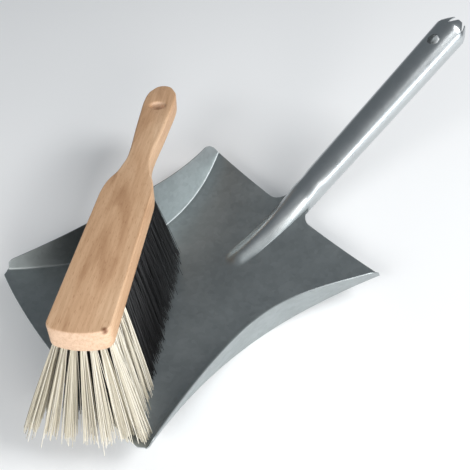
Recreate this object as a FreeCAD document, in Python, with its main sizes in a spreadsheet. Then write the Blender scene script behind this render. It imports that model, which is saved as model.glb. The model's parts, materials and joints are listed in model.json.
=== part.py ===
import FreeCAD, Part
import math
import os

import Sketcher

# Hand brush standing in a pressed steel dust pan.
#
# Working frame: origin at the middle of the pan's front lip, in the plane of its four floor
# corners. +X is the pan's right side, +Y runs back to the handle, +Z is up. At the end every
# sub-part is shifted so that the row's origin is the bottom centre of the whole set.
# The brush is drawn in its own frame: U from its head towards its handle, V to the left,
# W out of its top face. Its pose in the pan is three distances and two angles.

Vec = FreeCAD.Vector
doc = FreeCAD.newDocument("dust_pan_and_brush")

SIZES = {
    # pressed pan
    "gauge": 0.7, "lip_width": 195.0, "back_width": 195.0, "floor_depth": 218.0,
    "side_bulge": 28.0, "bulge_skew": 0.09, "floor_sag": 21.1, "sag_skew": 0.22,
    "lip_bow": 7.0, "back_bow": 2.6, "corner_cut": 5.0,
    "wall_front": 6.2, "wall_middle": 42.6, "wall_back": 15.2, "wall_lean": 10.8,
    # rib in the floor and rolled handle
    "rib_start": 151.0, "rib_nose": 2.6, "neck_y": 228.0, "neck_z": 3.3, "neck_fillet": 11.5,
    "handle_slope": 27.9, "neck_radius": 12.0, "grip_radius": 14.4, "grip_length": 205.5,
    "crimp_length": 9.0, "crimp_radius": 8.5, "petals": 6, "notch_width": 5.0,
    "notch_depth": 8.0, "seam_gap": 0.6, "pan_hole_radius": 5.0, "pan_hole_from_end": 30.5,
    # brush block
    "block_length": 295.0, "block_thickness": 15.5, "body_half_width": 18.8,
    "neck_half_width": 9.0, "handle_half_width": 13.2, "head_bow": 5.8,
    "head_radius": 45.0, "corner_radius": 7.0,
    "brush_hole_radius": 6.0, "brush_hole_round": 2.4, "brush_hole_u": 257.0,
    # tufts
    "stations": 18, "first_station": 11.5, "station_pitch": 8.4, "head_row_u": 2.5,
    "head_row_half": 15.3, "outer_column": 14.4, "tuft_root": 1.8, "tuft_tip": 3.4,
    "hole_radius": 2.15, "hole_depth": 9.0, "root_depth": 7.0, "trim_plane": 75.0,
    "side_splay": 14.5, "head_lean": 17.0, "back_lean": 7.0,
    "anchor_width": 5.0, "anchor_height": 1.5, "anchor_gauge": 0.35,
    # brush in the pan
    "brush_x": 47.5, "brush_y": 1.0, "brush_z": 81.0, "brush_turn": 45.2, "brush_dip": 6.67,
}
sheet = doc.addObject("Spreadsheet::Sheet", "Dims")
for row, (alias, value) in enumerate(SIZES.items(), start=1):
    sheet.set("A%d" % row, alias)
    sheet.set("B%d" % row, str(value))
    sheet.setAlias("B%d" % row, alias)
doc.recompute()

SAMPLES = 12            # points that carry each free curve of the pan
REACH = 130.0           # past the pan on every side, for cutting solids


def dim(alias):
    return float(getattr(sheet, alias))


def bind(thing, **sizes):
    """Drive properties of an object from expressions on the sheet."""
    for name, expression in sizes.items():
        thing.setExpression(name, expression)


def feature(label, shape):
    """A sub-part or tool whose shape is worked out here from the sheet."""
    thing = doc.addObject("Part::Feature", label)
    thing.Label = label
    thing.Shape = shape
    return thing


def spline(points):
    curve = Part.BSplineCurve()
    curve.interpolate(points)
    return curve.toShape()


def steps(low, high, count):
    return [low + (high - low) * i / (count - 1) for i in range(count)]


# ---------------------------------------------------------------- pan: curves of the sheet
def arch(share, skew):
    """A hump over 0..1, one high in the middle, leaning towards 1 by the skew."""
    return 4.0 * share * (1.0 - share) * (1.0 + skew * (2.0 * share - 1.0))


def floor_z(y):
    return -dim("floor_sag") * arch(y / dim("floor_depth"), dim("sag_skew"))


def crease_x(y):
    share = y / dim("floor_depth")
    straight = (dim("lip_width") * (1.0 - share) + dim("back_width") * share) / 2.0
    return straight - dim("side_bulge") * arch(share, dim("bulge_skew"))


def wall_height(share):
    """Parabola through the wall's heights at its front, middle and back."""
    return (dim("wall_front") * (1.0 - share) * (1.0 - 2.0 * share)
            + dim("wall_middle") * 4.0 * share * (1.0 - share)
            + dim("wall_back") * share * (2.0 * share - 1.0))


def wall_pair(y):
    """Foot and top of the right wall's inner face at this depth."""
    step = 0.01
    foot = Vec(crease_x(y), y, floor_z(y) + 0.2 * dim("gauge"))
    along = Vec(crease_x(y + step) - crease_x(y - step), 2.0 * step,
                floor_z(y + step) - floor_z(y - step)).normalize()
    up = Vec(0, floor_z(y - step) - floor_z(y + step), 2.0 * step).normalize()
    out = along.cross(up).normalize()
    lean = math.radians(dim("wall_lean"))
    height = wall_height(y / dim("floor_depth"))
    return foot, foot + (out * math.sin(lean) + up * math.cos(lean)) * height


def floor_band(low, high):
    """Everything between two heights over the dished floor, as wide as REACH."""
    depths = steps(-3.0 * dim("lip_bow"), dim("floor_depth") + 15.0, SAMPLES)
    under = [Vec(-REACH, y, floor_z(y) + low) for y in depths]
    over = [Vec(-REACH, y, floor_z(y) + high) for y in depths]
    outline = Part.Wire([spline(under), Part.makeLine(under[-1], over[-1]),
                         spline(over[::-1]), Part.makeLine(over[0], under[0])])
    return Part.Face(outline).extrude(Vec(2.0 * REACH, 0, 0))


def floor_outline():
    """Plan of the floor: bowed lip, bulging sides, and a back edge that sweeps into the neck."""
    lap = 0.5 * dim("gauge")
    cut = dim("corner_cut")
    depth = dim("floor_depth")
    side = [Vec(crease_x(y) + lap, y, 0) for y in steps(cut, depth, SAMPLES)]
    lip_end = Vec(dim("lip_width") / 2.0 - cut, 0, 0)
    fillet = dim("neck_fillet")
    neck = dim("neck_radius") - 1.5
    back = depth - dim("back_bow")
    turn_in = Vec(neck + fillet, back, 0)
    turn_mid = Vec(neck + fillet * (1.0 - math.sqrt(0.5)), back + fillet * (1.0 - math.sqrt(0.5)), 0)
    turn_out = Vec(neck, back + fillet, 0)

    def mirror(point):
        return Vec(-point.x, point.y, point.z)

    right = [Part.makeLine(lip_end, side[0]), spline(side), Part.makeLine(side[-1], turn_in),
             Part.Arc(turn_in, turn_mid, turn_out).toShape()]
    left = [Part.Arc(mirror(turn_out), mirror(turn_mid), mirror(turn_in)).toShape(),
            Part.makeLine(mirror(turn_in), mirror(side[-1])),
            spline([mirror(point) for point in side[::-1]]),
            Part.makeLine(mirror(side[0]), mirror(lip_end))]
    across = Part.makeLine(turn_out, mirror(turn_out))
    lip = Part.Arc(mirror(lip_end), Vec(0, -dim("lip_bow"), 0), lip_end).toShape()
    return Part.Wire(right + [across] + left + [lip])


def side_wall(hand):
    """Wall on the right (hand 1) or the left (hand -1), standing on the curved crease."""
    pairs = [wall_pair(y) for y in steps(dim("corner_cut"), dim("floor_depth"), SAMPLES)]
    feet = spline([Vec(hand * foot.x, foot.y, foot.z) for foot, _ in pairs])
    tops = spline([Vec(hand * top.x, top.y, top.z) for _, top in pairs])
    return Part.makeRuledSurface(feet, tops).extrude(Vec(hand * dim("gauge"), 0, 0))


def handle_axis():
    slope = math.radians(dim("handle_slope"))
    return Vec(0, math.cos(slope), math.sin(slope))


def rib_cone(inset):
    """Rib from its nose on the floor to the neck, where it has the tube's own circle."""
    start = dim("rib_start")
    nose = Vec(0, start, floor_z(start) + dim("gauge") - 0.3 * dim("rib_nose"))
    neck = Vec(0, dim("neck_y"), dim("neck_z"))
    circles = [Part.Circle(nose, handle_axis(), dim("rib_nose") - inset),
               Part.Circle(neck, handle_axis(), dim("neck_radius") - inset)]
    return Part.makeLoft([Part.Wire([circle.toShape()]) for circle in circles], True, True)


def make_pan_sheet():
    gauge = dim("gauge")
    prism = Part.Face(floor_outline())
    prism.translate(Vec(0, 0, -REACH))
    plate = floor_band(0.0, gauge).common(prism.extrude(Vec(0, 0, 2.0 * REACH)))
    hollow = rib_cone(gauge)
    rib = rib_cone(0.0).cut(hollow).common(floor_band(0.3 * gauge, REACH))
    pressed = plate.cut(hollow).fuse([rib, side_wall(1), side_wall(-1)])
    return feature("pan_sheet", pressed.removeSplitter())


# ---------------------------------------------------------------- sketch helpers
def plane_of(body, role):
    return next(item for item in body.Origin.OriginFeatures if item.Role == role)


def sketch_on(body, role, name):
    sketch = body.newObject("Sketcher::SketchObject", name)
    sketch.AttachmentSupport = [(plane_of(body, role), "")]
    sketch.MapMode = "FlatFace"
    return sketch


def closed_polygon(sketch, points):
    for first, second in zip(points, points[1:] + points[:1]):
        sketch.addGeometry(Part.LineSegment(first, second), False)


def sketch_circle(sketch, centre, radius_alias, height_name=None, height_expression=None):
    """A circle whose radius, and place along the sketch's Y if asked, follow the sheet."""
    index = sketch.addGeometry(Part.Circle(centre, Vec(0, 0, 1), dim(radius_alias)), False)
    sketch.addConstraint(Sketcher.Constraint("Radius", index, dim(radius_alias)))
    sketch.renameConstraint(0, "radius")
    sketch.setExpression("Constraints.radius", "Dims." + radius_alias)
    if height_name:
        sketch.addConstraint(Sketcher.Constraint("DistanceY", -1, 1, index, 3, centre.y))
        sketch.renameConstraint(1, height_name)
        sketch.setExpression("Constraints." + height_name, height_expression)


def through_pocket(body, sketch, name, two_sided=True):
    pocket = body.newObject("PartDesign::Pocket", name)
    pocket.Profile = sketch
    pocket.Type = "ThroughAll"
    pocket.Midplane = two_sided
    return pocket


# ---------------------------------------------------------------- pan: rolled tube handle
def tube_profile():
    """Half section of the tube: outside up to the crimped end, and back down the inside."""
    gauge = dim("gauge")
    bend = dim("grip_length") - dim("crimp_length")
    end = dim("grip_length")
    bent = dim("crimp_radius")
    knee = 0.3 * bent + 0.7 * dim("grip_radius")
    knee_up = bend + 0.72 * dim("crimp_length")
    outer = [Vec(dim("neck_radius"), 0, 0), Vec(dim("grip_radius"), bend, 0)]
    inner = [Vec(dim("grip_radius") - gauge, bend, 0), Vec(dim("neck_radius") - gauge, 0, 0)]
    over = Part.Arc(outer[1], Vec(knee, knee_up, 0), Vec(bent, end, 0))
    under = Part.Arc(Vec(bent, end - gauge, 0), Vec(knee - gauge, knee_up - gauge, 0), inner[0])
    return outer, over, under, inner


def make_handle_tube():
    body = doc.addObject("PartDesign::Body", "HandleTube")
    body.Label = "handle_tube"
    profile = sketch_on(body, "XZ_Plane", "TubeProfile")
    outer, over, under, inner = tube_profile()
    profile.addGeometry(Part.LineSegment(*outer), False)
    profile.addGeometry(over, False)
    profile.addGeometry(Part.LineSegment(over.EndPoint, under.StartPoint), False)
    profile.addGeometry(under, False)
    profile.addGeometry(Part.LineSegment(*inner), False)
    profile.addGeometry(Part.LineSegment(inner[1], outer[0]), False)
    tube = body.newObject("PartDesign::Revolution", "Tube")
    tube.Profile = profile
    tube.ReferenceAxis = (profile, ["V_Axis"])
    tube.Angle = 360.0
    doc.recompute()

    hole = sketch_on(body, "XZ_Plane", "HangingHole")
    level = dim("grip_length") - dim("pan_hole_from_end")
    sketch_circle(hole, Vec(0, level, 0), "pan_hole_radius", "level",
                  "Dims.grip_length - Dims.pan_hole_from_end")
    hole.addConstraint(Sketcher.Constraint("PointOnObject", 0, 3, -2))
    through_pocket(body, hole, "HolePocket")

    seam = sketch_on(body, "XZ_Plane", "SeamSketch")
    half = dim("seam_gap") / 2.0
    long = dim("grip_length") + 1.0
    closed_polygon(seam, [Vec(-half, -1, 0), Vec(half, -1, 0), Vec(half, long, 0), Vec(-half, long, 0)])
    slit = through_pocket(body, seam, "Seam", two_sided=False)
    doc.recompute()
    slit.Reversed = slit.Shape.Solids[0].CenterOfMass.y > 0     # the seam is on the underside
    doc.recompute()

    notch = sketch_on(body, "XZ_Plane", "NotchSketch")
    end = dim("grip_length") + 0.5
    closed_polygon(notch, [Vec(-dim("notch_width") / 2.0, end, 0),
                           Vec(0, end - dim("notch_depth"), 0),
                           Vec(dim("notch_width") / 2.0, end, 0)])
    cut = through_pocket(body, notch, "Notch")
    doc.recompute()
    ring = body.newObject("PartDesign::PolarPattern", "Petals")
    ring.Originals = [cut]
    ring.Axis = (profile, ["V_Axis"])
    ring.Angle = 180.0 - 180.0 / (dim("petals") / 2.0)
    ring.Occurrences = int(dim("petals") / 2)
    body.Tip = ring
    tilt = FreeCAD.Rotation(Vec(1, 0, 0), dim("handle_slope") - 90.0)
    body.Placement = FreeCAD.Placement(Vec(0, dim("neck_y"), dim("neck_z")), tilt)
    return body


# ---------------------------------------------------------------- brush
def brush_pose():
    turn = FreeCAD.Rotation(Vec(0, 0, 1), 90.0 + dim("brush_turn"))
    dip = FreeCAD.Rotation(Vec(0, 1, 0), dim("brush_dip"))
    place = Vec(dim("brush_x"), dim("brush_y"), dim("brush_z"))
    return FreeCAD.Placement(place, turn.multiply(dip))


def block_side():
    """Left edge of the block: straight body, round shoulder, narrow neck, swelling handle."""
    body = dim("body_half_width")
    neck = dim("neck_half_width")
    swell = dim("handle_half_width")
    long = dim("block_length")
    return [Vec(124, body, 0), Vec(138, 0.93 * body, 0), Vec(153, 0.70 * body, 0),
            Vec(166, 1.08 * neck, 0), Vec(182, neck, 0), Vec(212, 1.17 * neck, 0),
            Vec(245, 0.94 * swell, 0), Vec(268, swell, 0), Vec(0.962 * long, 0.86 * swell, 0),
            Vec(0.985 * long, 0.56 * swell, 0)]


def mirrored(points):
    return [Vec(point.x, -point.y, point.z) for point in points[::-1]]


def head_corner():
    """Left corner of the head: one arc tangent to the straight side and to the bowed front."""
    bow = dim("head_radius")
    corner = dim("corner_radius")
    bow_centre = Vec(bow - dim("head_bow"), 0, 0)
    height = dim("body_half_width") - corner
    centre = Vec(bow_centre.x - math.sqrt((bow - corner) ** 2 - height ** 2), height, 0)
    meet = bow_centre + (centre - bow_centre).normalize() * bow
    side = Vec(centre.x, dim("body_half_width"), 0)
    middle = centre + ((meet - centre) + (side - centre)).normalize() * corner
    return [side, middle, meet]


def block_outline():
    """Closed plan of the block, every join tangent, as curves for a sketch."""
    side = block_side()
    last = side[-1]
    end = Vec(dim("block_length"), 0, 0)
    centre = Vec((end.x ** 2 - last.x ** 2 - last.y ** 2) / (2.0 * (end.x - last.x)), 0, 0)
    outward = last - centre
    left = Part.BSplineCurve()
    left.interpolate(side, InitialTangent=Vec(1, 0, 0),
                     FinalTangent=Vec(outward.y, -outward.x, 0).normalize())
    right = Part.BSplineCurve()
    right.interpolate(mirrored(side), InitialTangent=Vec(-outward.y, -outward.x, 0).normalize(),
                      FinalTangent=Vec(-1, 0, 0))
    corner = head_corner()
    other = mirrored(corner)
    front = Vec(-dim("head_bow"), 0, 0)
    return [Part.LineSegment(corner[0], side[0]), left, Part.Arc(last, end, mirrored([last])[0]),
            right, Part.LineSegment(mirrored([side[0]])[0], other[-1]),
            Part.Arc(other[-1], other[1], other[0]), Part.Arc(other[0], front, corner[-1]),
            Part.Arc(corner[-1], corner[1], corner[0])]


def make_block_body():
    body = doc.addObject("PartDesign::Body", "BlockBody")
    outline = sketch_on(body, "XY_Plane", "BlockOutline")
    for curve in block_outline():
        outline.addGeometry(curve, False)
    pad = body.newObject("PartDesign::Pad", "Block")
    pad.Profile = outline
    pad.Reversed = True
    bind(pad, Length="Dims.block_thickness")
    doc.recompute()

    hole = sketch_on(body, "XY_Plane", "HangingHoleSketch")
    index = hole.addGeometry(Part.Circle(Vec(dim("brush_hole_u"), 0, 0), Vec(0, 0, 1),
                                         dim("brush_hole_radius")), False)
    hole.addConstraint(Sketcher.Constraint("Radius", index, dim("brush_hole_radius")))
    hole.addConstraint(Sketcher.Constraint("DistanceX", -1, 1, index, 3, dim("brush_hole_u")))
    hole.addConstraint(Sketcher.Constraint("PointOnObject", index, 3, -1))
    hole.renameConstraint(0, "radius")
    hole.renameConstraint(1, "along")
    bind(hole, **{"Constraints.radius": "Dims.brush_hole_radius",
                  "Constraints.along": "Dims.brush_hole_u"})
    bore = through_pocket(body, hole, "HangingHolePocket")
    doc.recompute()

    rounding = body.newObject("PartDesign::Fillet", "EasedEdges")
    rim = ["Edge%d" % (number + 1) for number, edge in enumerate(bore.Shape.Edges)
           if abs(edge.BoundBox.ZLength) < 0.01 and edge.BoundBox.XLength < 20.0
           and abs(edge.BoundBox.Center.x - dim("brush_hole_u")) < 0.1]
    rounding.Base = (bore, rim)
    bind(rounding, Radius="Dims.brush_hole_round")
    body.Tip = rounding
    return body


def tuft_plan():
    """Every tuft as (node, u, v, lean along U, splay along V), in degrees."""
    plan = []
    count = int(dim("stations"))
    seats = 7
    for seat in range(seats):
        share = 2.0 * seat / (seats - 1) - 1.0
        u = dim("head_row_u") + 3.0 * share * share
        plan.append(("white_head_tufts", u, share * dim("head_row_half"), -dim("head_lean"),
                     share * dim("side_splay")))
    for station in range(count - 1):
        share = station / (count - 2.0)
        u = dim("first_station") + station * dim("station_pitch")
        lean = -dim("head_lean") + (station + 1.0) / (count - 1.0) * (dim("head_lean")
                                                                      + dim("back_lean"))
        narrow = 1.0 if station < count - 3 else 1.0 - 0.07 * (station - count + 4)
        for column in (-2, -1, 0, 1, 2):
            v = narrow * dim("outer_column") * column / 2.0
            node = "black_tuft_row_%02d" % (station + 1)
            if station < 4 and column == -2:
                node = "white_right_tufts"
            if station < 4 and column == 2:
                node = "white_left_tufts"
            splay = dim("side_splay") * column / 2.0
            if column > 0:
                splay *= max(0.15, 1.0 - 1.2 * share)      # the pan's wall holds these in
            plan.append((node, u, v, lean, splay))
    return plan


def tuft_direction(lean, splay):
    """Unit vector from the root down to the tips."""
    return Vec(math.tan(math.radians(lean)), math.tan(math.radians(splay)), -1.0).normalize()


def make_brush():
    block = make_block_body()
    holes = []
    anchors = []
    groups = {}
    for number, (node, u, v, lean, splay) in enumerate(tuft_plan(), start=1):
        down = tuft_direction(lean, splay)
        mouth = Vec(u, v, -dim("block_thickness"))
        turn = FreeCAD.Rotation(Vec(0, 0, 1), down)
        slant = "%.6f" % -down.z

        tuft = doc.addObject("Part::Cone", "Tuft%02d" % number)
        bind(tuft, Radius1="Dims.tuft_root", Radius2="Dims.tuft_tip",
             Height="Dims.root_depth + (Dims.trim_plane - Dims.block_thickness) / " + slant)
        tuft.Placement = FreeCAD.Placement(mouth - down * dim("root_depth"), turn)
        groups.setdefault(node, []).append(tuft)

        drilling = doc.addObject("Part::Cylinder", "Drilling%02d" % number)
        bind(drilling, Radius="Dims.hole_radius", Height="Dims.hole_depth + 1.5")
        drilling.Placement = FreeCAD.Placement(mouth - down * dim("hole_depth"), turn)
        holes.append(drilling)

        anchor = doc.addObject("Part::Box", "Anchor%02d" % number)
        bind(anchor, Length="Dims.anchor_gauge", Width="Dims.anchor_width",
             Height="Dims.anchor_height")
        corner = turn.multVec(Vec(-dim("anchor_gauge") / 2.0, -dim("anchor_width") / 2.0, 0))
        gap = (dim("hole_depth") - dim("root_depth") - dim("anchor_height")) / 2.0
        anchor.Placement = FreeCAD.Placement(
            mouth - down * (dim("hole_depth") - gap) + corner, turn)
        anchors.append(anchor)

    drilled = doc.addObject("Part::Compound", "Drillings")
    drilled.Links = holes
    pinned = doc.addObject("Part::Compound", "TuftAnchors")
    pinned.Label = "tuft_anchors"
    pinned.Links = anchors
    slots = doc.addObject("Part::Compound", "AnchorSlots")
    slots.Links = anchors
    bored = doc.addObject("Part::Cut", "BoredBlock")
    bored.Base = block
    bored.Tool = drilled
    wood = doc.addObject("Part::Cut", "BrushBlock")
    wood.Label = "brush_block"
    wood.Base = bored
    wood.Tool = slots
    pieces = [wood, pinned]
    for node, tufts in sorted(groups.items()):
        group = doc.addObject("Part::Compound", node)
        group.Label = node
        group.Links = tufts
        pieces.append(group)
    return pieces


# ---------------------------------------------------------------- build, place, check, write
def place(piece, placement):
    piece.Placement = placement.multiply(piece.Placement)


def check(thing):
    if "Invalid" in thing.State or "Error" in thing.State:
        raise RuntimeError("%s failed: %s" % (thing.Name, thing.State))


def main():
    pan_pieces = [make_pan_sheet(), make_handle_tube()]
    brush_pieces = make_brush()
    doc.recompute()
    wood, anchors = brush_pieces[:2]
    pose = brush_pose()
    for piece in brush_pieces:
        piece.Placement = pose
    doc.recompute()

    pieces = pan_pieces + brush_pieces
    box = FreeCAD.BoundBox()
    for piece in pieces:
        box.add(piece.Shape.BoundBox)
    shift = FreeCAD.Placement(Vec(-box.Center.x, -box.Center.y, -box.ZMin), FreeCAD.Rotation())
    for piece in pieces:
        place(piece, shift)
    doc.recompute()

    for thing in doc.Objects:
        check(thing)
    os.makedirs("parts", exist_ok=True)
    for piece in pieces:
        shape = piece.Shape
        if shape.isNull() or not shape.isValid():
            raise RuntimeError("%s has no valid shape" % piece.Label)
        shape.exportStep("parts/%s.step" % piece.Label)
        print("%-20s solids %3d  volume %9.1f  %s" % (
            piece.Label, len(shape.Solids), shape.Volume,
            [round(side, 1) for side in (shape.BoundBox.XMin, shape.BoundBox.XMax,
                                         shape.BoundBox.YMin, shape.BoundBox.YMax,
                                         shape.BoundBox.ZMin, shape.BoundBox.ZMax)]))
    print("row frame shift", shift.Base)


main()
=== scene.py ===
"""Looks of a steel dust pan and the hand brush standing in it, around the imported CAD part."""
import json
import math
import random

import bmesh
import bpy
from mathutils import Matrix, Vector


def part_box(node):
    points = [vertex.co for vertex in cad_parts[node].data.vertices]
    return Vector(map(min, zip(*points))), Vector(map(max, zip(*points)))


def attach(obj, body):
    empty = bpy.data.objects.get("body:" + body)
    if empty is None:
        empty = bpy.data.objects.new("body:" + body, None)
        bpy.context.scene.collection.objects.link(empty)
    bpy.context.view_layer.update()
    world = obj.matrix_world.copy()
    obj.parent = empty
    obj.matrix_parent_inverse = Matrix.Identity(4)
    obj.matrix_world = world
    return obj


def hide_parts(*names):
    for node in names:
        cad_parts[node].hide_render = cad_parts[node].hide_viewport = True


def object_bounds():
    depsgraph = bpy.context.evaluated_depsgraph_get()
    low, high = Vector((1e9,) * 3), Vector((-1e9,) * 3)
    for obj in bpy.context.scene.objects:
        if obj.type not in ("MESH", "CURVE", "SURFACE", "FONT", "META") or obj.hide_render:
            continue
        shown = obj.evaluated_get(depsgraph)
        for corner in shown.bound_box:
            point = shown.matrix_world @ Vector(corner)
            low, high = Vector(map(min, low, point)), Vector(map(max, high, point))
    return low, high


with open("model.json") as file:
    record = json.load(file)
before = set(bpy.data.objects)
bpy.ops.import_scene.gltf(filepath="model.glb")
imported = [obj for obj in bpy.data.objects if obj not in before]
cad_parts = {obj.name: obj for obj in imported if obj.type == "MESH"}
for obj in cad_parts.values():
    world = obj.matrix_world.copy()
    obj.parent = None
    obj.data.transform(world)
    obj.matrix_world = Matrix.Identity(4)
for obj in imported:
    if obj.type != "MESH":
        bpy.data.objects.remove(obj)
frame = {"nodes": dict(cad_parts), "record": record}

CAD_BOUNDS = [list(corner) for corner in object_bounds()]
MM = 0.001
RNG = random.Random(7)
QUARTER, HALF_TURN, TURN = math.pi / 2.0, math.pi, 2.0 * math.pi

# ------------------------------------------------------------------ sizes, in millimetres
GAUGE = 0.8                                     # sheet
LIP_WIDTH, BACK_WIDTH, DEPTH = 195.0, 195.0, 218.0
BULGE, BULGE_SKEW = 28.0, 0.09                  # side creases, inwards
BEND = 1.3                                      # inside radius of the creases
SAG, SAG_SKEW = 21.1, 0.22                      # dished floor
LIP_BOW, BACK_BOW, CORNER = 7.0, 2.6, 5.0
WALL_FRONT, WALL_MIDDLE, WALL_BACK = 6.2, 42.6, 15.2
WALL_LEAN = math.radians(10.8)
WALL_LOW, WALL_FULL_FROM = 0.86, 0.45           # the front part of the wall is this much lower
WALL_END_ROUND = 7.0                            # of the wall's back end
WALL_TOE, WALL_TOE_DROP = 3.0, 2.0              # rounding of the wall's front end
BEND_START = 0.6                                # of CORNER, where the crease's low side starts

RIB_START, RIB_NOSE, RIB_BASE = 147.0, 10.5, 9.2
RIB_WIDEN, RIB_RISE = 1.5, 1.05                 # powers of the way along the rib
RIB_FIRST_LIFT = 0.17                           # height at the nose, as a share of the full one
RIB_SOFTNESS, RIB_ROUNDING = 0.85, 1.6          # from a soft ridge to a round one
NECK_RAISE_FROM, NECK_RAISE_REACH = 0.7, 0.12   # along the rib, and across the floor beside it
NECK = Vector((0.0, 228.0, 3.3))                # where the handle's axis starts
SLOPE = math.radians(27.9)
NECK_RADIUS, GRIP_RADIUS, GRIP_LENGTH = 12.0, 14.4, 205.5
JOIN_Y, NECK_FILLET = 226.0, 13.0               # where the floor's rib becomes the full tube
DENT_ALONG, DENT_LENGTH, DENT_DEPTH = 13.0, 7.0, 1.5      # where the tube was squeezed
DENT_LOW, DENT_FOCUS = 0.55, 4                  # reach below the flanks, and sharpness on them
PETAL_START, PETAL_REACH, PETALS = 194.5, 11.0, 6
PETAL_TIP_RADIUS, PETAL_CURL = 7.9, 1.25        # the petals are crimped inwards
PETAL_GAP = 0.46                                # share of the ring cut away at their tips
PETAL_TRIM = (1.0, 0.93, 0.97, 0.9, 0.98, 0.92)   # each petal's length, cut by hand
PAN_HOLE_FROM_END, PAN_HOLE_RADIUS = 30.5, 5.0
SEAM_START, SEAM_GAP = 16.0, 0.6
POLISH_HEIGHT, POLISH_MARGIN = 6.0, 1.0         # the rib is polished fully from this height on

BLOCK_LENGTH, BLOCK_THICK = 295.0, 15.5
BODY_HALF, NECK_HALF, SWELL_HALF = 19.1, 9.5, 13.8
HEAD_BOW, HEAD_RADIUS, CORNER_RADIUS = 5.8, 45.0, 7.0
BLOCK_SIDE = ((124.0, BODY_HALF), (137.0, 0.945 * BODY_HALF), (146.0, 0.83 * BODY_HALF),
              (154.0, 0.67 * BODY_HALF), (163.0, 1.16 * NECK_HALF), (174.0, NECK_HALF),
              (190.0, 1.02 * NECK_HALF), (215.0, 1.20 * NECK_HALF), (242.0, 0.93 * SWELL_HALF),
              (266.0, SWELL_HALF), (281.0, 0.90 * SWELL_HALF), (289.5, 0.62 * SWELL_HALF))
HEAD_EDGE, HANDLE_EDGE = 1.1, 2.0               # radius of the eased edges
EDGE_CHANGE_FROM, EDGE_CHANGE_LENGTH = 140.0, 40.0
BRUSH_HOLE_U, BRUSH_HOLE_RADIUS, BRUSH_HOLE_ROUND = 257.0, 6.0, 2.4
KNOT = (-1.3, -15.8, -1.2)                      # a small dark knot by the head's corner
TRIM_PLANE = 83.5                               # fibre tips, below the block's top

STATIONS, FIRST_STATION, STATION_PITCH = 18, 11.5, 8.4
HEAD_TUFTS, HEAD_ROW_U, HEAD_ROW_HALF, HEAD_ROW_BOW = 7, 2.5, 15.3, 3.0
COLUMNS, OUTER_COLUMN = (-2, -1, 0, 1, 2), 14.4
LIGHT_STATIONS = 4                              # outer tufts of these are light
NARROW_STATIONS, NARROWING = 3, 0.07            # the last stations close in a little, each more
SIDE_SPLAY, HEAD_LEAN, BACK_LEAN = 14.5, 17.0, 7.0
HEAD_SPLAY, LEFT_SPLAY = 15.0, 19.5             # outermost tufts of the head's row
RIGHT_SPLAY = 0.76                              # the right rows stand a little straighter
LEFT_STRAIGHTEN, LEFT_LEAST = 1.2, 0.15         # the left rows stand up beside the wall

FIBRES, FIBRE_STEPS, FIBRE_SIDES = 56, 7, 4
FIBRE_RADIUS = {"white": 0.26, "black": 0.24}
WILDNESS = {"white": 1.0, "black": 0.8}         # how uneven the fibres of a tuft are
FIBRE_TAPER = 0.25                              # share of the thickness lost at the tip
ROOT_RADIUS, ROOT_SUNK = 1.5, 1.0               # of a tuft where it leaves the block
SPREAD, STRAY_SPREAD = math.radians(2.3), math.radians(5.5)
STRAY_SHARE = 0.06                              # fibres that stand well out of their tuft
UNEVEN, CURL, TRIM_SCATTER = 0.008, 0.7, 1.0    # of direction, sideways bow, and length
BOW_MIDDLE, BOW_TIP = 4.0, 1.2                  # of the sideways bow, along the fibre
FLOOR_GAP, WALL_GAP = 0.7, 1.2                  # kept free over the floor and off the walls
LAY_CURVE, EDGE_MARGIN = 1.3, 1.0               # bends mostly near the tip; floor's own edge
OVERHANG = Vector((6.5, 11.5, -1.0))            # how far tips may pass the CAD's box

AXIS = Vector((0.0, math.cos(SLOPE), math.sin(SLOPE)))
OVER = Vector((0.0, -math.sin(SLOPE), math.cos(SLOPE)))
ACROSS, UPWARD = Vector((1.0, 0.0, 0.0)), Vector((0.0, 0.0, 1.0))

# ------------------------------------------------------------------ fineness of the meshes
SLOPE_STEP, DEPTH_STEPS = 0.01, 400             # for slopes, and to find the deepest point
ROWS = 110                                      # of the sheet, front to back
WALL_STEPS = 8
BEND_SHARES = (0.75, 0.5, 0.25)
FLOOR_SHARES = (0.93, 0.86, 0.78, 0.70, 0.62, 0.54, 0.46, 0.38, 0.30, 0.23, 0.17, 0.13, 0.10,
                0.07, 0.045, 0.02)
RING = 48                                       # points round the tube
ARC = range(1, RING // 2)                       # those that the floor's rib carries on
TUBE_RINGS, UPRIGHT_SHARE, PETAL_STEPS = 60, 0.12, 7
HEAD_STEPS, CORNER_STEPS, BODY_STEPS, SIDE_STEPS, TIP_STEPS = 10, 10, 24, 8, 8
EDGE_STEPS, FLARE_STEPS = 5, 6
WELD = 0.02 * MM
PAN_CREASE, BLOCK_CREASE, FIBRE_CREASE = 38.0, 30.0, 60.0     # degrees, sharper stays an edge
CUT_SPARE, SEAM_SPARE = 1.0, 4.0                # how far cutters pass the surface


# ------------------------------------------------------------------ shape of the sheet
def clamp(value):
    return min(1.0, max(0.0, value))


def arch(share, skew):
    return 4.0 * share * (1.0 - share) * (1.0 + skew * (2.0 * share - 1.0))


def quarter_drop(share):
    """How far a quarter circle of radius 1 has dropped, this share of the way out."""
    return 1.0 - math.sqrt(max(0.0, 1.0 - share ** 2))


def floor_z(y):
    """Top of the dished floor."""
    return GAUGE - SAG * arch(y / DEPTH, SAG_SKEW)


def crease_x(y):
    share = y / DEPTH
    straight = (LIP_WIDTH * (1.0 - share) + BACK_WIDTH * share) / 2.0
    return straight - BULGE * arch(share, BULGE_SKEW)


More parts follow.
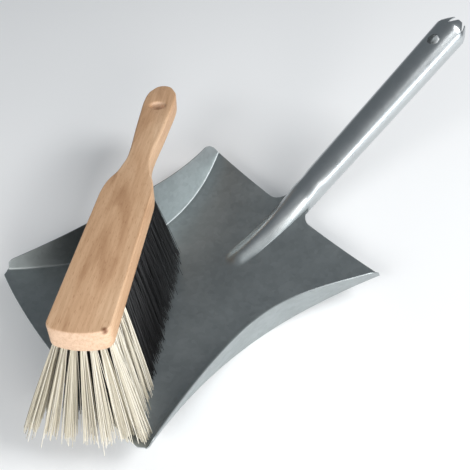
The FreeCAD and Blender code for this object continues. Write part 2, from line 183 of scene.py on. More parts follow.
def wall_height(y):
    share = y / DEPTH
    height = (WALL_FRONT * (1.0 - share) * (1.0 - 2.0 * share)
              + WALL_MIDDLE * 4.0 * share * (1.0 - share)
              + WALL_BACK * share * (2.0 * share - 1.0))
    height *= WALL_LOW + (1.0 - WALL_LOW) * min(1.0, share / WALL_FULL_FROM)
    into_end = max(0.0, y - (DEPTH - WALL_END_ROUND)) / WALL_END_ROUND
    into_toe = max(0.0, CORNER + WALL_TOE - y) / WALL_TOE
    return height - WALL_END_ROUND * quarter_drop(into_end) - WALL_TOE_DROP * quarter_drop(into_toe)


def wall_direction(y):
    """Up along the right wall, leaning out from the crease."""
    step = SLOPE_STEP
    along = Vector((crease_x(y + step) - crease_x(y - step), 2.0 * step,
                    floor_z(y + step) - floor_z(y - step))).normalized()
    up = Vector((0.0, floor_z(y - step) - floor_z(y + step), 2.0 * step)).normalized()
    out = along.cross(up).normalized()
    return out * math.sin(WALL_LEAN) + up * math.cos(WALL_LEAN)


# ------------------------------------------------------------------ where the pieces stand
PAN_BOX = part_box("pan_sheet")
DEEPEST = min(floor_z(DEPTH * i / DEPTH_STEPS) for i in range(DEPTH_STEPS + 1))
PAN_ORIGIN = Vector(((PAN_BOX[0].x + PAN_BOX[1].x) / 2.0, PAN_BOX[0].y + LIP_BOW * MM,
                     PAN_BOX[0].z - (DEEPEST - GAUGE) * MM))
MOUNTS = {mount["name"]: mount for mount in frame["record"]["mounts"]}


def brush_matrix():
    """Brush frame in the row frame, from its hanging hole: U to the handle, V left, W up."""
    hole = Vector(MOUNTS["brush_hanging_hole"]["pos_m"])
    w_axis = Vector(MOUNTS["brush_hanging_hole"]["axis"]).normalized()
    level = Vector((w_axis.x, w_axis.y, 0.0))
    dip = level.length
    u_axis = (level.normalized() * math.sqrt(1.0 - dip ** 2) - UPWARD * dip).normalized()
    v_axis = w_axis.cross(u_axis)
    origin = hole - u_axis * BRUSH_HOLE_U * MM + w_axis * BLOCK_THICK / 2.0 * MM
    turn = Matrix((u_axis, v_axis, w_axis)).transposed().to_4x4()
    return Matrix.Translation(origin) @ turn


PAN_MATRIX = Matrix.Translation(PAN_ORIGIN)
BRUSH_MATRIX = brush_matrix()
BRUSH_IN_PAN = PAN_MATRIX.inverted() @ BRUSH_MATRIX
PAN_IN_BRUSH = BRUSH_IN_PAN.inverted()
LOWEST = (Vector(CAD_BOUNDS[0]) - PAN_ORIGIN) / MM - OVERHANG


# ------------------------------------------------------------------ mesh helpers
def new_object(name, points, faces, matrix):
    """A mesh from points in millimetres, in its own frame, placed by a matrix in metres."""
    mesh = bpy.data.meshes.new(name)
    mesh.from_pydata([Vector(point) * MM for point in points], [], faces)
    mesh.validate()
    piece = bpy.data.objects.new(name, mesh)
    bpy.context.scene.collection.objects.link(piece)
    piece.matrix_world = matrix
    return piece


def shade(piece, angle):
    mesh = piece.data
    mesh.polygons.foreach_set("use_smooth", [True] * len(mesh.polygons))
    mesh.set_sharp_from_angle(angle=math.radians(angle))


def store(piece, name, values):
    """Keeps one number for each point, for the materials."""
    piece.data.attributes.new(name, "FLOAT", "POINT").data.foreach_set("value", values)


def settle(piece):
    """Keeps each point's place in its own frame for the materials, then moves the mesh itself."""
    mesh = piece.data
    place = mesh.attributes.new("place", "FLOAT_VECTOR", "POINT")
    place.data.foreach_set("vector", [value for vertex in mesh.vertices for value in vertex.co])
    mesh.transform(piece.matrix_world)
    piece.matrix_world = Matrix.Identity(4)


def paint(piece, material):
    piece.data.materials.clear()
    piece.data.materials.append(material)


def heal(piece, weld=0.0):
    """Joins points that lie closer than weld metres and turns all faces the same way."""
    mesh = bmesh.new()
    mesh.from_mesh(piece.data)
    if weld:
        bmesh.ops.remove_doubles(mesh, verts=mesh.verts, dist=weld)
    bmesh.ops.recalc_face_normals(mesh, faces=mesh.faces)
    mesh.to_mesh(piece.data)
    mesh.free()


def apply_modifiers(piece):
    bpy.context.view_layer.update()
    graph = bpy.context.evaluated_depsgraph_get()
    solid = bpy.data.meshes.new_from_object(piece.evaluated_get(graph))
    piece.modifiers.clear()
    piece.data = solid


def subtract(piece, points, faces):
    """Cuts a closed tool, given in the piece's own frame, out of it."""
    tool = new_object("cutter", points, faces, piece.matrix_world)
    cut = piece.modifiers.new("cut", "BOOLEAN")
    cut.operation = "DIFFERENCE"
    cut.solver = "EXACT"
    cut.object = tool
    apply_modifiers(piece)
    bpy.data.objects.remove(tool)


def grid_faces(base, rows, columns):
    """Quads of an open grid of points whose first point is number base."""
    faces = []
    for row in range(rows):
        for column in range(columns):
            a = base + row * (columns + 1) + column
            faces.append((a, a + 1, a + columns + 2, a + columns + 1))
    return faces


def ring_faces(base, steps, count):
    """Quads between closed rings of count points, one ring after another."""
    faces = []
    for low in range(base, base + steps * count, count):
        for i in range(count):
            j = (i + 1) % count
            faces.append((low + i, low + j, low + count + j, low + count + i))
    return faces


def rod_faces(base, steps, count):
    """The same with both ends closed."""
    first, last = range(base, base + count), range(base + steps * count, base + (steps + 1) * count)
    return ring_faces(base, steps, count) + [tuple(first)[::-1], tuple(last)]


def lathe(base, axis, side, profile):
    """Closed solid turned about an axis: profile is (distance along it, radius)."""
    other = axis.cross(side)
    points = []
    for along, radius in profile:
        for i in range(RING):
            turn = TURN * i / RING
            points.append(base + axis * along
                          + (side * math.cos(turn) + other * math.sin(turn)) * radius)
    return points, rod_faces(0, len(profile) - 1, RING)


# ------------------------------------------------------------------ pan: sheet and tube
RIB_EDGE = TURN * ARC[0] / RING
JOIN_ALONG = (JOIN_Y - NECK.y) / math.cos(SLOPE)


def pinch(along, turn):
    """Shallow dents on both flanks, where the rolled tube was squeezed into the neck."""
    near = math.exp(-((along - DENT_ALONG) / DENT_LENGTH) ** 2)
    flank = abs(math.cos(turn)) ** DENT_FOCUS * max(0.0, math.sin(turn) + DENT_LOW)
    return DENT_DEPTH * near * flank


def tube_point(along, turn, upright):
    """Point on the tube. upright 1 puts the whole ring in one vertical plane, 0 square on."""
    radius = NECK_RADIUS + (GRIP_RADIUS - NECK_RADIUS) * along / PETAL_START
    radius -= pinch(along, turn) * (1.0 - upright)
    along += upright * radius * math.tan(SLOPE) * math.sin(turn)
    return NECK + AXIS * along + (ACROSS * math.cos(turn) + OVER * math.sin(turn)) * radius


JOIN_EDGE, JOIN_TOP = (tube_point(JOIN_ALONG, turn, 1.0) for turn in (RIB_EDGE, QUARTER))


def rib_share(y):
    return max(0.0, (y - RIB_START) / (JOIN_Y - RIB_START))


def rib_width(y):
    """Half width of the rib's foot at this depth."""
    return RIB_BASE + (JOIN_EDGE.x - RIB_BASE) * rib_share(y) ** RIB_WIDEN


def rib_lift(x, y):
    """How far the rib stands over the floor: a round-nosed ridge that grows into the tube."""
    share = rib_share(y)
    width = rib_width(y)
    before = max(0.0, RIB_START + RIB_NOSE - y) * width / RIB_NOSE
    away = min(1.0, math.hypot(x, before) / width)
    rise = RIB_FIRST_LIFT + (1.0 - RIB_FIRST_LIFT) * share ** RIB_RISE
    edge = math.sin(RIB_EDGE)
    full = (math.sqrt(1.0 - (away * math.cos(RIB_EDGE)) ** 2) - edge) / (1.0 - edge)
    soft = (0.5 + 0.5 * math.cos(math.pi * away)) ** RIB_SOFTNESS
    return (JOIN_TOP.z - JOIN_EDGE.z) * rise * (soft + (full - soft) * share ** RIB_ROUNDING)


def neck_raise(y):
    """The floor under the rib climbs to the level where the tube's ring starts."""
    climb = max(0.0, rib_share(y) - NECK_RAISE_FROM) / (1.0 - NECK_RAISE_FROM)
    return (JOIN_EDGE.z - floor_z(JOIN_Y)) * climb


def rib_point(index, y):
    """Point index of ARC on the rib, which turns into the tube's own section at its end."""
    x = rib_width(y) * math.cos(TURN * index / RING) / math.cos(RIB_EDGE)
    return Vector((x, y, floor_z(y) + neck_raise(y) + rib_lift(x, y)))


def front_y(x):
    """Front edge: a bowed lip with its two corners cut off."""
    straight = LIP_WIDTH / 2.0 - CORNER
    if abs(x) < straight:
        return -LIP_BOW * (1.0 - (x / straight) ** 2)
    return abs(x) - straight


def back_y(k):
    """Back edge of the floor, k from 0 at the rib to 1 at the crease."""
    away = k * (crease_x(DEPTH) - rib_width(JOIN_Y))
    base = DEPTH - BACK_BOW * (1.0 - k * k)
    if away >= NECK_FILLET:
        return base
    return base + NECK_FILLET - math.sqrt(NECK_FILLET ** 2 - (NECK_FILLET - away) ** 2)


def floor_point(hand, k, y):
    """k from 0 at the rib to 1 at the crease. hand is -1 on the left and 1 on the right."""
    width = rib_width(y)
    near = max(0.0, 1.0 - k / NECK_RAISE_REACH)
    x = hand * (width + k * (crease_x(y) - width))
    return Vector((x, y, floor_z(y) + neck_raise(y) * near))


def wall_point(hand, k, y):
    """k from 0, where the bend ends, to 1 at the wall's top."""
    rise = BEND + k * (wall_height(y) - BEND)
    point = Vector((crease_x(y), y, floor_z(y))) + wall_direction(y) * rise
    point.x *= hand
    return point


def bend_point(hand, k, y):
    """Round of the crease, from the floor (k 0) to the wall (k 1)."""
    corner = Vector((crease_x(y), y, floor_z(y)))
    low = corner - ACROSS * BEND
    high = corner + wall_direction(y) * BEND
    point = low * (1.0 - k) ** 2 + corner * 2.0 * k * (1.0 - k) + high * k * k
    point.x *= hand
    return point


def side_columns(hand):
    """Lines of the sheet from the wall's top down to the rib, each as (hand, kind, share)."""
    floor_shares = (1.0 - BEND / crease_x(DEPTH / 2.0),) + FLOOR_SHARES
    return ([(hand, "wall", 1.0 - i / WALL_STEPS) for i in range(WALL_STEPS + 1)]
            + [(hand, "bend", share) for share in BEND_SHARES]
            + [(hand, "floor", share) for share in floor_shares])


def sheet_rows():
    """Rows of points of the whole sheet, from the front edge to the back."""
    columns = side_columns(-1) + [(0, "rib", index) for index in ARC[::-1]] + side_columns(1)[::-1]
    rows = []
    for row in range(ROWS + 1):
        share = row / ROWS
        points = []
        for hand, kind, k in columns:
            if kind == "wall":
                points.append(wall_point(hand, k, CORNER + share * (DEPTH - CORNER)))
            elif kind == "bend":
                start = CORNER * (BEND_START + (1.0 - BEND_START) * k)
                points.append(bend_point(hand, k, start * (1.0 - share) + share * DEPTH))
            elif kind == "floor":
                start = front_y(k * LIP_WIDTH / 2.0)
                points.append(floor_point(hand, k, start + share * (back_y(k) - start)))
            else:
                start = front_y(0.0)
                points.append(rib_point(k, start + share * (JOIN_Y - start)))
        rows.append(points)
    return rows


def petal_point(petal, across, reach):
    """Point on one petal of the crimped end: across -1..1, reach 0 at its root to 1."""
    along = PETAL_START + PETAL_REACH * PETAL_TRIM[petal] * reach
    radius = GRIP_RADIUS - (GRIP_RADIUS - PETAL_TIP_RADIUS) * reach ** PETAL_CURL
    half = HALF_TURN / PETALS
    turn = QUARTER + (2.0 * petal + 1.0) * half + across * half * (1.0 - PETAL_GAP * reach)
    return NECK + AXIS * along + (ACROSS * math.cos(turn) + OVER * math.sin(turn)) * radius


def seam_cutter():
    """Box along the tube's underside, where the rolled sheet's two edges nearly meet."""
    points = []
    for along in (SEAM_START, GRIP_LENGTH + SEAM_SPARE / 2.0):
        for across in (-SEAM_GAP / 2.0, SEAM_GAP / 2.0):
            for depth in (NECK_RADIUS - SEAM_SPARE, GRIP_RADIUS + SEAM_SPARE):
                points.append(NECK + AXIS * along + ACROSS * across - OVER * depth)
    faces = [(0, 1, 3, 2), (4, 6, 7, 5), (0, 4, 5, 1), (2, 3, 7, 6), (0, 2, 6, 4), (1, 5, 7, 3)]
    return points, faces


def worked_share(point):
    """0 on plain sheet, 1 on the rib's crest and the tube, which rolling has polished."""
    if point.y > JOIN_Y:
        return 1.0
    if abs(point.x) > rib_width(point.y) + POLISH_MARGIN:
        return 0.0
    crest = clamp((point.z - floor_z(point.y)) / POLISH_HEIGHT)
    return crest * min(1.0, 2.0 * rib_share(point.y))


def pan_surface():
    """Points and faces of the sheet, the tube and its petals, as one thin surface."""
    rows = sheet_rows()
    points = [point for row in rows for point in row]
    faces = grid_faces(0, ROWS, len(rows[0]) - 1)

    faces += ring_faces(len(points), TUBE_RINGS - 1, RING)
    for i in range(TUBE_RINGS):
        share = i / (TUBE_RINGS - 1.0)
        along = JOIN_ALONG + share * (PETAL_START - JOIN_ALONG)
        upright = max(0.0, 1.0 - share / UPRIGHT_SHARE)
        points += [tube_point(along, TURN * j / RING, upright) for j in range(RING)]

    per = RING // PETALS
    for petal in range(PETALS):
        faces += grid_faces(len(points), PETAL_STEPS, per)
        for step in range(PETAL_STEPS + 1):
            points += [petal_point(petal, 2.0 * i / per - 1.0, step / PETAL_STEPS)
                       for i in range(per + 1)]
    return points, faces


def make_pan():
    pan = new_object("pan_shell", *pan_surface(), PAN_MATRIX)
    heal(pan, WELD)
    floor_middle = Vector((0.0, 80.0, -20.0)) * MM
    face = min(pan.data.polygons, key=lambda face: (face.center - floor_middle).length)
    if face.normal.z < 0.0:
        pan.data.flip_normals()
    thick = pan.modifiers.new("thickness", "SOLIDIFY")
    thick.thickness = GAUGE * MM
    thick.offset = -1.0
    apply_modifiers(pan)
    reach = 2.0 * GRIP_RADIUS
    hole = NECK + AXIS * (GRIP_LENGTH - PAN_HOLE_FROM_END) - OVER * reach
    bore = [(0.0, PAN_HOLE_RADIUS), (2.0 * reach, PAN_HOLE_RADIUS)]
    subtract(pan, *lathe(hole, OVER, ACROSS, bore))
    subtract(pan, *seam_cutter())
    shade(pan, PAN_CREASE)
    store(pan, "worked", [worked_share(vertex.co / MM) for vertex in pan.data.vertices])
    settle(pan)
    paint(pan, steel_material())
    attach(pan, "pan")
    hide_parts("pan_sheet", "handle_tube")


# ------------------------------------------------------------------ brush block
def spline_through(points, count):
    """Smooth line through points: cubic pieces with slopes from each point's neighbours."""
    result = []
    for i in range(len(points) - 1):
        before, after = points[max(i - 1, 0)], points[min(i + 2, len(points) - 1)]
        start, end = points[i], points[i + 1]
        span = (end - start).length
        leave = (end - before).normalized() * span if i else Vector((span, 0.0))
        arrive = (after - start).normalized() * span
        for j in range(count):
            t = j / count
            result.append(start * (2 * t ** 3 - 3 * t ** 2 + 1) + leave * (t ** 3 - 2 * t ** 2 + t)
                          + end * (3 * t ** 2 - 2 * t ** 3) + arrive * (t ** 3 - t ** 2))
    result.append(points[-1])
    return result


def block_half():
    """Left half of the block's outline, from the head's middle round to the handle's tip."""
    bow_centre = Vector((HEAD_RADIUS - HEAD_BOW, 0.0))
    reach, height = HEAD_RADIUS - CORNER_RADIUS, BODY_HALF - CORNER_RADIUS
    centre = Vector((bow_centre.x - math.sqrt(reach ** 2 - height ** 2), height))
    limit = math.asin(height / reach)
    line = []
    for i in range(HEAD_STEPS):
        turn = limit * i / HEAD_STEPS
        line.append(bow_centre + Vector((-math.cos(turn), math.sin(turn))) * HEAD_RADIUS)
    for i in range(CORNER_STEPS + 1):
        turn = limit + (QUARTER - limit) * i / CORNER_STEPS
        line.append(centre + Vector((-math.cos(turn), math.sin(turn))) * CORNER_RADIUS)
    side = [Vector(point) for point in BLOCK_SIDE]
    for i in range(1, BODY_STEPS):
        line.append(Vector((centre.x + (side[0].x - centre.x) * i / BODY_STEPS, BODY_HALF)))
    line += spline_through(side, SIDE_STEPS)
    last = side[-1]
    left = BLOCK_LENGTH - last.x
    radius = (last.y ** 2 + left ** 2) / (2.0 * left)
    tip = Vector((BLOCK_LENGTH - radius, 0.0))
    limit = math.atan2(last.y, last.x - tip.x)
    for i in range(1, TIP_STEPS + 1):
        turn = limit * (1.0 - i / TIP_STEPS)
        line.append(tip + Vector((math.cos(turn), math.sin(turn))) * radius)
    return line


def edge_round(u):
    """Round of the block's edges: crisp at the head, softer along the handle."""
    share = clamp((u - EDGE_CHANGE_FROM) / EDGE_CHANGE_LENGTH)
    return HEAD_EDGE + (HANDLE_EDGE - HEAD_EDGE) * share


def block_surface():
    """Points and faces of the block: its outline, stacked with eased top and bottom edges."""
    half = block_half()
    outline = half + [Vector((point.x, -point.y)) for point in half[-2:0:-1]]
    count = len(outline)
    normals = []
    for i in range(count):
        along = outline[(i + 1) % count] - outline[i - 1]
        normals.append(Vector((-along.y, along.x)).normalized())
    turns = [QUARTER * i / EDGE_STEPS for i in range(EDGE_STEPS + 1)]
    levels = [(turn, False) for turn in turns] + [(turn, True) for turn in turns[::-1]]
    points = []
    for turn, bottom in levels:
        for place, normal in zip(outline, normals):
            edge = edge_round(place.x)
            spot = place - normal * edge * (1.0 - math.sin(turn))
            drop = edge * (1.0 - math.cos(turn))
            points.append(Vector((spot.x, spot.y, drop - BLOCK_THICK if bottom else -drop)))
    return points, rod_faces(0, len(levels) - 1, count)


def flared_bore():
    """Profile of the brush's hanging hole, with rounded rims at the top and the bottom."""
    flare = []
    for i in range(FLARE_STEPS + 1):
        turn = QUARTER * i / FLARE_STEPS
        flare.append((BRUSH_HOLE_ROUND * math.sin(turn),
                      BRUSH_HOLE_RADIUS + BRUSH_HOLE_ROUND * (1.0 - math.cos(turn))))
    rim = BRUSH_HOLE_RADIUS + BRUSH_HOLE_ROUND
    return ([(-BLOCK_THICK - CUT_SPARE, rim)]
            + [(BRUSH_HOLE_ROUND - BLOCK_THICK - along, radius) for along, radius in flare[::-1]]
            + [(along - BRUSH_HOLE_ROUND, radius) for along, radius in flare]
            + [(CUT_SPARE, rim)])


def make_block():
    block = new_object("brush_block_wood", *block_surface(), BRUSH_MATRIX)
    heal(block)
    subtract(block, *lathe(ACROSS * BRUSH_HOLE_U, UPWARD, ACROSS, flared_bore()))
    shade(block, BLOCK_CREASE)
    # painted light: faces turned to the head's front get a share that paints the wood paler there,
    # standing in for light from the front
    store(block, "painted_front_light", [max(0.0, -vertex.normal.x) for vertex in block.data.vertices])
    settle(block)
    paint(block, wood_material())
    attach(block, "brush")
    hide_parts("brush_block")


# ------------------------------------------------------------------ bristles
def tuft_plan():
    """Every tuft as (CAD node, u, v, lean along U, splay along V), in degrees."""
    plan = []
    for seat in range(HEAD_TUFTS):
        share = 2.0 * seat / (HEAD_TUFTS - 1.0) - 1.0
        plan.append(("white_head_tufts", HEAD_ROW_U + HEAD_ROW_BOW * share * share,
                     share * HEAD_ROW_HALF, -HEAD_LEAN,
                     share * (HEAD_SPLAY if share < 0.0 else LEFT_SPLAY)))
    for station in range(STATIONS - 1):
        share = station / (STATIONS - 2.0)
        u = FIRST_STATION + station * STATION_PITCH
        lean = -HEAD_LEAN + (station + 1.0) / (STATIONS - 1.0) * (HEAD_LEAN + BACK_LEAN)
        narrow = 1.0 - NARROWING * max(0, station - STATIONS + NARROW_STATIONS + 1)
        for column in COLUMNS:
            node = "black_tuft_row_%02d" % (station + 1)
            if station < LIGHT_STATIONS and column == COLUMNS[0]:
                node = "white_right_tufts"
            if station < LIGHT_STATIONS and column == COLUMNS[-1]:
                node = "white_left_tufts"
            splay = SIDE_SPLAY * column / COLUMNS[-1]
            if column < 0:
                splay *= RIGHT_SPLAY
            if column > 0:
                splay *= max(LEFT_LEAST, 1.0 - LEFT_STRAIGHTEN * share)
            if node == "white_left_tufts":
                splay *= LEFT_SPLAY / SIDE_SPLAY
            plan.append((node, u, narrow * OUTER_COLUMN * column / COLUMNS[-1], lean, splay))
    return plan


def past_wall(spot):
    """How far a point, in the pan's frame, lies beyond the inner face of the nearer wall."""
    if not 0.0 < spot.y < DEPTH:
        return 0.0
    rise = spot.z - floor_z(spot.y)
    if rise > wall_height(spot.y) + WALL_GAP:
        return 0.0
    inner = crease_x(spot.y) - BEND + max(0.0, rise) * math.tan(WALL_LEAN)
    return max(0.0, abs(spot.x) - inner + WALL_GAP)


def lay_fibre(line):
    """Bends a fibre, given in the brush's frame, off the pan's walls and floor."""
    spots = [BRUSH_IN_PAN @ (point * MM) / MM for point in line]
    worst = max(range(len(spots)), key=lambda step: past_wall(spots[step]))
    over = math.copysign(past_wall(spots[worst]), spots[worst].x)
    for step, spot in enumerate(spots):
        if worst:
            spot.x -= over * (step / worst) ** LAY_CURVE
        spot.x = max(spot.x, LOWEST.x)
        spot.y = max(spot.y, LOWEST.y)
        low = LOWEST.z
        if spot.y > -LIP_BOW - EDGE_MARGIN and abs(spot.x) < LIP_WIDTH / 2.0 + EDGE_MARGIN:
            low = floor_z(max(spot.y, -LIP_BOW)) + FLOOR_GAP
        spot.z = max(spot.z, low)
    return [PAN_IN_BRUSH @ (spot * MM) / MM for spot in spots]


def fibre_line(u, v, lean, splay, wild):
    """Centre line of one fibre, from just inside its hole to its tip."""
    turn = RNG.uniform(0.0, TURN)
    share = math.sqrt(RNG.random())
    root = Vector((u + ROOT_RADIUS * share * math.cos(turn),
                   v + ROOT_RADIUS * share * math.sin(turn), ROOT_SUNK - BLOCK_THICK))
    spread = (STRAY_SPREAD if RNG.random() < STRAY_SHARE else SPREAD) * share
    aside = RNG.gauss(0.0, UNEVEN) * wild, RNG.gauss(0.0, UNEVEN) * wild
    down = Vector((math.tan(math.radians(lean) + spread * math.cos(turn) + aside[0]),
                   math.tan(math.radians(splay) + spread * math.sin(turn) + aside[1]), -1.0))
    length = TRIM_PLANE + root.z + RNG.gauss(0.0, TRIM_SCATTER) * wild
    curl = Vector((RNG.gauss(0.0, CURL), RNG.gauss(0.0, CURL), 0.0)) * wild
    line = []
    for step in range(FIBRE_STEPS + 1):
        t = step / FIBRE_STEPS
        bow = BOW_MIDDLE * t * (1.0 - t) + BOW_TIP * t * t
        line.append(root + down * (length * t) + curl * bow)
    return lay_fibre(line)


def fibre_points(line, radius):
    """Small square rings along a fibre, each a little thinner than the one before."""
    points = []
    for step, centre in enumerate(line):
        along = (line[min(step + 1, FIBRE_STEPS)] - line[max(step - 1, 0)]).normalized()
        side = along.cross(Vector((0.0, 1.0, 0.0))).normalized()
        other = along.cross(side)
        size = radius * (1.0 - FIBRE_TAPER * step / FIBRE_STEPS)
        for corner in range(FIBRE_SIDES):
            turn = TURN * corner / FIBRE_SIDES
            points.append(centre + (side * math.cos(turn) + other * math.sin(turn)) * size)
    return points


def make_bristles():
    materials = {colour: bristle_material(colour) for colour in FIBRE_RADIUS}
    groups = {}
    for node, *tuft in tuft_plan():
        groups.setdefault(node, []).append(tuft)
    for node, tufts in groups.items():
        colour = node.split("_")[0]
        points, faces, tints = [], [], []
        for tuft in tufts:
            for _ in range(FIBRES):
                line = fibre_line(*tuft, WILDNESS[colour])
                faces += rod_faces(len(points), FIBRE_STEPS, FIBRE_SIDES)
                points += fibre_points(line, FIBRE_RADIUS[colour])
                tints += [RNG.random()] * (FIBRE_SIDES * (FIBRE_STEPS + 1))
        piece = new_object(node.replace("tuft", "fibre"), points, faces, BRUSH_MATRIX)
        shade(piece, FIBRE_CREASE)
        store(piece, "tint", tints)
        settle(piece)
        paint(piece, materials[colour])
        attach(piece, "brush")
        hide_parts(node)


# ------------------------------------------------------------------ materials
def shader(name, roughness=0.5, metallic=0.0):
    material = bpy.data.materials.new(name)
    material.use_nodes = True
    nodes, links = material.node_tree.nodes, material.node_tree.links
    surface = nodes["Principled BSDF"]
    surface.inputs["Roughness"].default_value = roughness
    surface.inputs["Metallic"].default_value = metallic
    return material, nodes, links, surface


def feed(links, value, socket):
    """Gives a socket another node's output, or else a value of its own."""
    if isinstance(value, bpy.types.NodeSocket):
        links.new(value, socket)
    else:
        socket.default_value = value


def stored(nodes, name, output="Fac"):
    """What is stored at each point of the mesh under this name."""
    attribute = nodes.new("ShaderNodeAttribute")
    attribute.attribute_name = name
    return attribute.outputs[output]


def ramped(nodes, links, factor, *stops):
    """Colours between (position, colour) stops."""
    ramp = nodes.new("ShaderNodeValToRGB")
    elements = ramp.color_ramp.elements
    while len(elements) < len(stops):
        elements.new(0.5)
    for element, (position, colour) in zip(elements, stops):
        element.position = position
        element.color = (*colour, 1.0)
    links.new(factor, ramp.inputs["Fac"])
    return ramp.outputs["Color"]


def mapped(nodes, links, scale, turn=0.0, source=None):
    """The piece's own coordinates, in metres, turned about Z and stretched."""
    mapping = nodes.new("ShaderNodeMapping")
    mapping.inputs["Rotation"].default_value = (0.0, 0.0, turn)
    mapping.inputs["Scale"].default_value = scale
    links.new(source or stored(nodes, "place", "Vector"), mapping.inputs["Vector"])
    return mapping.outputs["Vector"]


def noise(nodes, links, source, scale=1.0, detail=4.0, roughness=0.5, distortion=0.0):
    texture = nodes.new("ShaderNodeTexNoise")
    texture.inputs["Scale"].default_value = scale
    texture.inputs["Detail"].default_value = detail
    texture.inputs["Roughness"].default_value = roughness
    texture.inputs["Distortion"].default_value = distortion
    links.new(source, texture.inputs["Vector"])
    return texture.outputs["Fac"]


def mixed(nodes, links, kind, factor, first, second, blend="MIX"):
    mix = nodes.new("ShaderNodeMix")
    mix.data_type = kind
    mix.blend_type = blend
    for value, name in ((factor, "Factor"), (first, "A"), (second, "B")):
        feed(links, value, mix.inputs[name])
    return mix.outputs["Result"]


def reckoned(nodes, links, operation, *values):
    """Result of one sum on numbers."""
    sum_node = nodes.new("ShaderNodeMath")
    sum_node.operation = operation
    for value, socket in zip(values, sum_node.inputs):
        feed(links, value, socket)
    return sum_node.outputs["Value"]


def ranged(nodes, links, value, low, high, start=0.0, end=1.0):
    """Takes start..end to low..high."""
    spread = nodes.new("ShaderNodeMapRange")
    spread.inputs["From Min"].default_value = start
    spread.inputs["From Max"].default_value = end
    spread.inputs["To Min"].default_value = low
    spread.inputs["To Max"].default_value = high
    links.new(value, spread.inputs["Value"])
    return spread.outputs["Result"]


def roughen(nodes, links, surface, height, strength, distance):
    """Fine relief from a height texture."""
    bump = nodes.new("ShaderNodeBump")
    bump.inputs["Strength"].default_value = strength
    bump.inputs["Distance"].default_value = distance
    links.new(height, bump.inputs["Height"])
    links.new(bump.outputs["Normal"], surface.inputs["Normal"])


def steel_material():
    """Galvanised sheet: grey metal, faint spangle, fine rolling lines, polished where worked."""
    material, nodes, links, surface = shader("galvanised_steel", metallic=1.0)
    place = stored(nodes, "place", "Vector")
    spangle = nodes.new("ShaderNodeTexVoronoi")
    spangle.inputs["Scale"].default_value = 260.0
    links.new(place, spangle.inputs["Vector"])
    cloud = noise(nodes, links, place, 38.0, 5.0, 0.6)
    worked = stored(nodes, "worked")

    patches = mixed(nodes, links, "FLOAT", 0.3, cloud, spangle.outputs["Color"])
    plain = ramped(nodes, links, patches, (0.25, (0.335, 0.365, 0.37)), (0.75, (0.44, 0.475, 0.48)))
    bright = (0.66, 0.68, 0.69, 1.0)
    share = reckoned(nodes, links, "MULTIPLY", worked, 0.55)
    links.new(mixed(nodes, links, "RGBA", share, plain, bright), surface.inputs["Base Color"])

    dull = ranged(nodes, links, cloud, 0.40, 0.54)
    links.new(reckoned(nodes, links, "MULTIPLY_ADD", worked, -0.17, dull),
              surface.inputs["Roughness"])
    lines = noise(nodes, links, mapped(nodes, links, (900.0, 12.0, 900.0)), 1.0, 3.0, 0.6)
    roughen(nodes, links, surface, lines, 0.10, 0.0002)
    return material


def wood_material():
    """Sanded beech: golden ground, broad slanting figure, fine grain, short flecks, one knot, with
    painted light: the head's front face is painted paler, as if lit from the front.
    """
    material, nodes, links, surface = shader("beech")
    figure = noise(nodes, links, mapped(nodes, links, (8.0, 42.0, 42.0), 0.30), 1.0, 3.0, 0.5, 0.9)
    grain = noise(nodes, links, mapped(nodes, links, (22.0, 420.0, 420.0), 0.06), 1.0, 4.0, 0.6)
    flecks = noise(nodes, links, mapped(nodes, links, (190.0, 1700.0, 1700.0), 0.06), 1.0, 2.0, 0.5)
    reach = nodes.new("ShaderNodeVectorMath")
    reach.operation = "DISTANCE"
    reach.inputs[1].default_value = Vector(KNOT) * MM
    links.new(stored(nodes, "place", "Vector"), reach.inputs[0])
    away = ranged(nodes, links, reach.outputs["Value"], 0.0, 1.0, 0.0012, 0.0025)

    untouched = (1.0, 1.0, 1.0)
    ground = ramped(nodes, links, figure,
                    (0.32, (0.47, 0.265, 0.140)), (0.45, (0.64, 0.400, 0.235)),
                    (0.62, (0.71, 0.470, 0.290)), (0.78, (0.76, 0.525, 0.340)))
    streaks = ramped(nodes, links, grain, (0.30, (0.80, 0.74, 0.68)), (0.60, untouched))
    specks = ramped(nodes, links, flecks, (0.30, (0.66, 0.54, 0.46)), (0.41, untouched))
    knot = ramped(nodes, links, away, (0.0, (0.30, 0.19, 0.13)), (1.0, untouched))
    # painted light: this paler colour is painted on the head's front face in place of the light
    # falling on it
    pale = (0.72, 0.51, 0.36, 1.0)
    colour = mixed(nodes, links, "RGBA", stored(nodes, "painted_front_light"), ground, pale)
    for layer, weight in ((streaks, 0.8), (specks, 0.7), (knot, 1.0)):
        colour = mixed(nodes, links, "RGBA", weight, colour, layer, "MULTIPLY")
    links.new(colour, surface.inputs["Base Color"])
    links.new(ranged(nodes, links, grain, 0.48, 0.62), surface.inputs["Roughness"])
    roughen(nodes, links, surface, flecks, 0.25, 0.0002)
    return material


FIBRE_TONES = {"white": ((0.0, (0.38, 0.34, 0.25)), (0.35, (0.68, 0.63, 0.51)),
                         (1.0, (0.84, 0.80, 0.71))),
               "black": ((0.0, (0.008, 0.008, 0.009)), (1.0, (0.020, 0.020, 0.021)))}
FIBRE_ROUGHNESS = {"white": 0.45, "black": 0.38}


def bristle_material(colour):
    """Fibres, each with its own tone, and a little gloss."""
    material, nodes, links, surface = shader(colour + "_fibre", FIBRE_ROUGHNESS[colour])
    tone = ramped(nodes, links, stored(nodes, "tint"), *FIBRE_TONES[colour])
    links.new(tone, surface.inputs["Base Color"])
    fine = noise(nodes, links, mapped(nodes, links, (900.0, 900.0, 120.0)), 1.0, 2.0)
    roughen(nodes, links, surface, fine, 0.15, 0.0001)
    return material


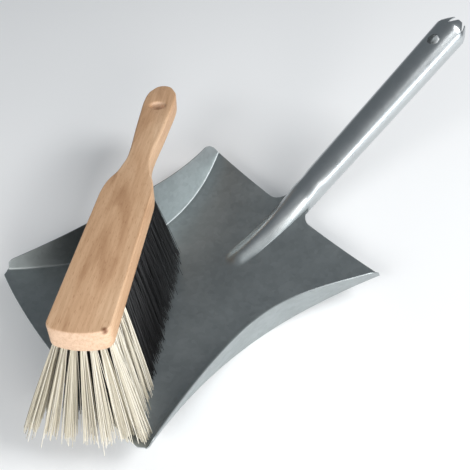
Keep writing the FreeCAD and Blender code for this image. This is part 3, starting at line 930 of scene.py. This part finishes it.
def finish_anchors():
    """The tuft anchors keep their CAD shape and get bright drawn wire."""
    material, nodes, links, surface = shader("anchor_wire", 0.3, 1.0)
    place = nodes.new("ShaderNodeTexCoord").outputs["Object"]
    stretched = mapped(nodes, links, (3000.0, 3000.0, 300.0), source=place)
    drawn = noise(nodes, links, stretched, 1.0, 3.0)
    tone = ramped(nodes, links, drawn, (0.3, (0.50, 0.50, 0.48)), (0.7, (0.66, 0.66, 0.64)))
    links.new(tone, surface.inputs["Base Color"])
    paint(frame["nodes"]["tuft_anchors"], material)


# ------------------------------------------------------------------ studio, in metres
STAGE_HALF = 6.0
LAMPS = (                                       # name, place, target, size, watts, colour
    ("key", (1.30, -0.60, 0.50), (0.0, 0.0, 0.03), (0.6, 0.5), 10.0, (1.0, 0.98, 0.95)),
    ("strip", (1.35, 0.40, 0.36), (0.03, 0.10, 0.07), (1.15, 0.36), 5.5, (0.93, 0.97, 1.0)),
    ("back", (0.95, 1.0, 1.3), (0.0, 0.0, 0.0), (0.9, 0.9), 23.0, (1.0, 1.0, 1.0)),
    ("front", (0.35, -1.35, 0.95), (0.0, 0.0, 0.0), (0.8, 0.6), 10.0, (1.0, 1.0, 1.0)))
SKY_COLOUR, SKY_STRENGTH = (0.80, 0.88, 0.95, 1.0), 0.22

CAMERA_AZIMUTH = math.radians(50.82)            # the view's heading, turned left from +Y
CAMERA_ELEVATION = math.radians(46.65)
CAMERA_ROLL = math.radians(-1.3)
CAMERA_DISTANCE = 0.5146
CAMERA_AIM = Vector((-0.0073, 0.1620, 0.0))     # from the pan's lip, in the plane of its corners
FOCAL_OVER_WIDTH = 632.0 / 470.0


def make_stage():
    half = STAGE_HALF
    mesh = bpy.data.meshes.new("studio_floor")
    mesh.from_pydata([(-half, -half, 0), (half, -half, 0), (half, half, 0), (-half, half, 0)], [],
                     [(0, 1, 2, 3)])
    stage = bpy.data.objects.new("studio_floor", mesh)
    bpy.context.scene.collection.objects.link(stage)
    material, _, _, surface = shader("pale_floor", 0.8)
    surface.inputs["Base Color"].default_value = (0.90, 0.905, 0.91, 1.0)
    paint(stage, material)


def make_lights():
    world = bpy.data.worlds.new("studio")
    world.use_nodes = True
    sky = world.node_tree.nodes["Background"]
    sky.inputs["Color"].default_value = SKY_COLOUR
    sky.inputs["Strength"].default_value = SKY_STRENGTH
    bpy.context.scene.world = world
    bpy.context.scene.view_settings.view_transform = "Standard"
    for name, place, target, size, watts, colour in LAMPS:
        data = bpy.data.lights.new(name, "AREA")
        data.shape = "RECTANGLE"
        data.size, data.size_y = size
        data.energy = watts
        data.color = colour
        lamp = bpy.data.objects.new(name, data)
        bpy.context.scene.collection.objects.link(lamp)
        lamp.location = place
        lamp.rotation_euler = (Vector(target) - Vector(place)).to_track_quat("-Z", "Y").to_euler()


def make_camera():
    data = bpy.data.cameras.new("camera")
    data.sensor_width = 36.0
    data.lens = FOCAL_OVER_WIDTH * data.sensor_width
    camera = bpy.data.objects.new("camera", data)
    bpy.context.scene.collection.objects.link(camera)
    heading = Vector((-math.sin(CAMERA_AZIMUTH) * math.cos(CAMERA_ELEVATION),
                      math.cos(CAMERA_AZIMUTH) * math.cos(CAMERA_ELEVATION),
                      -math.sin(CAMERA_ELEVATION)))
    turn = heading.to_track_quat("-Z", "Y").to_matrix() @ Matrix.Rotation(CAMERA_ROLL, 3, "Z")
    place = PAN_ORIGIN + CAMERA_AIM - heading * CAMERA_DISTANCE
    camera.matrix_world = Matrix.Translation(place) @ turn.to_4x4()
    bpy.context.scene.camera = camera


make_pan()
make_block()
make_bristles()
finish_anchors()
make_stage()
make_lights()
make_camera()

bpy.context.view_layer.update()
